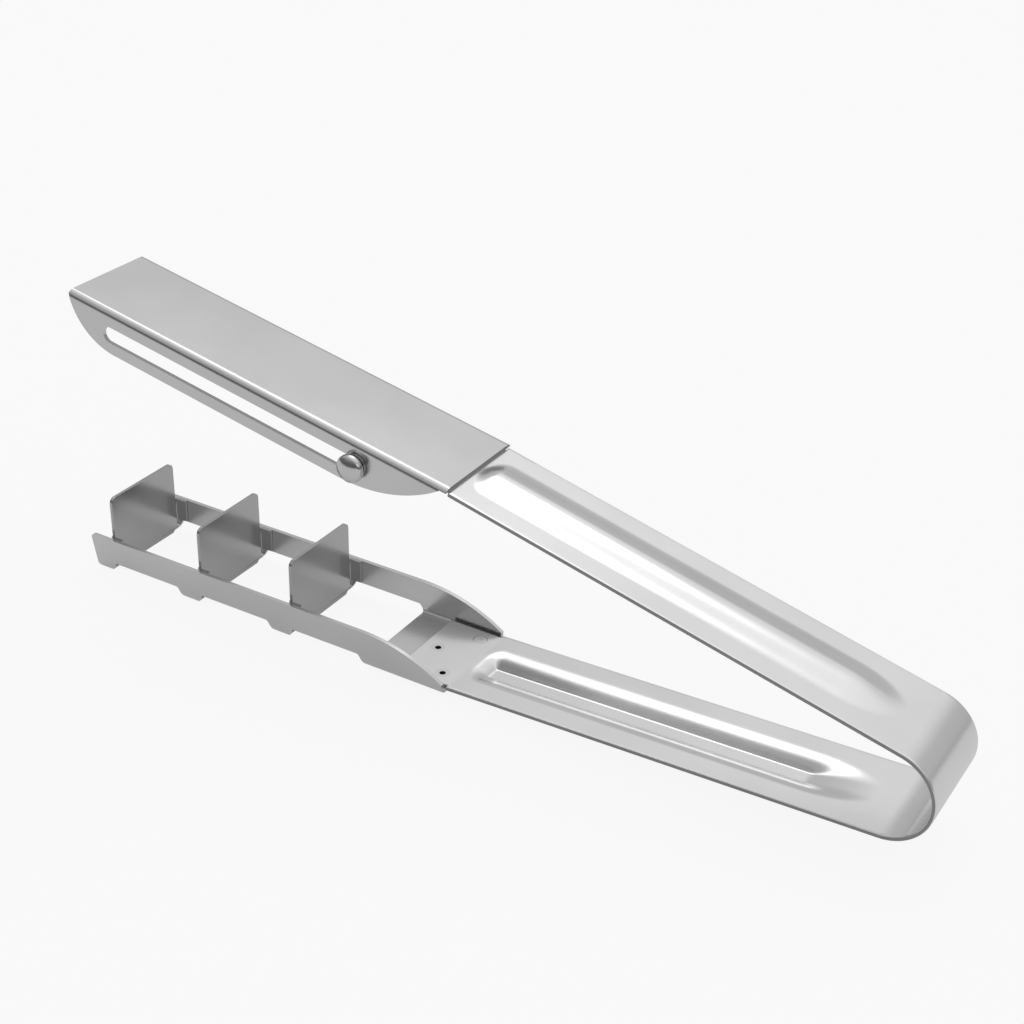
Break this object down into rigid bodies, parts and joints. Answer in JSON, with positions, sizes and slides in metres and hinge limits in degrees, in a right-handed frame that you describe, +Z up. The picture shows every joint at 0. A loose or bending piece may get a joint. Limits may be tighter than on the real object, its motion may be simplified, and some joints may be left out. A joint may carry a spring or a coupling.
{
  "type": "garlic press",
  "caption": "Tong-shaped steel garlic press: one sprung strip joins a channel jaw with a sliding cross pin to an open frame jaw with upright dividing blades.",
  "frame": {"origin": "middle of the part's box in plan, on the table it stands on", "axes": "+X along the part towards the spring bend, +Y across it to the far side of the three-quarter view, +Z up"},
  "size_m": [0.217, 0.0332, 0.074],
  "materials": {
    "strip": "satin, brushed across the strip",
    "cover": "satin",
    "frame": "satin",
    "blade": "smooth satin",
    "rivet": "satin",
    "slider": "polished"
  },
  "bodies": {
    "lower": {"lower_arm": "strip", "spring_bend": "strip", "frame_base_plate": "frame", "frame_rail_near": "frame", "frame_rail_far": "frame", "frame_cross_front": "frame", "frame_cross_middle": "frame", "frame_cross_rear": "frame", "blade_front": "blade", "blade_middle": "blade", "blade_rear": "blade", "pad_rivet": "rivet", "pad_tubular_rivets": "rivet"},
    "upper": {"upper_arm": "strip", "cover_top": "cover", "cover_flange_near": "cover", "cover_flange_far": "cover"},
    "slider": {"slider_pin": "slider", "slider_washers": "slider", "slider_head_near": "slider", "slider_head_far": "slider"}
  },
  "joints": [
    {"name": "squeeze", "type": "hinge", "parent": "lower", "child": "upper", "pos_m": [0.09749, 0, 0.01703], "axis": [0, -1, 0], "range_deg": [0, 12.3], "stiffness_Nm_per_rad": 9, "springref_deg": -0.69, "deforming": ["spring_bend"]},
    {"name": "slider_slide", "type": "slide", "parent": "upper", "child": "slider", "axis": [-0.9813, 0, 0.1924], "range_m": [0, 0.0694]}
  ]
}
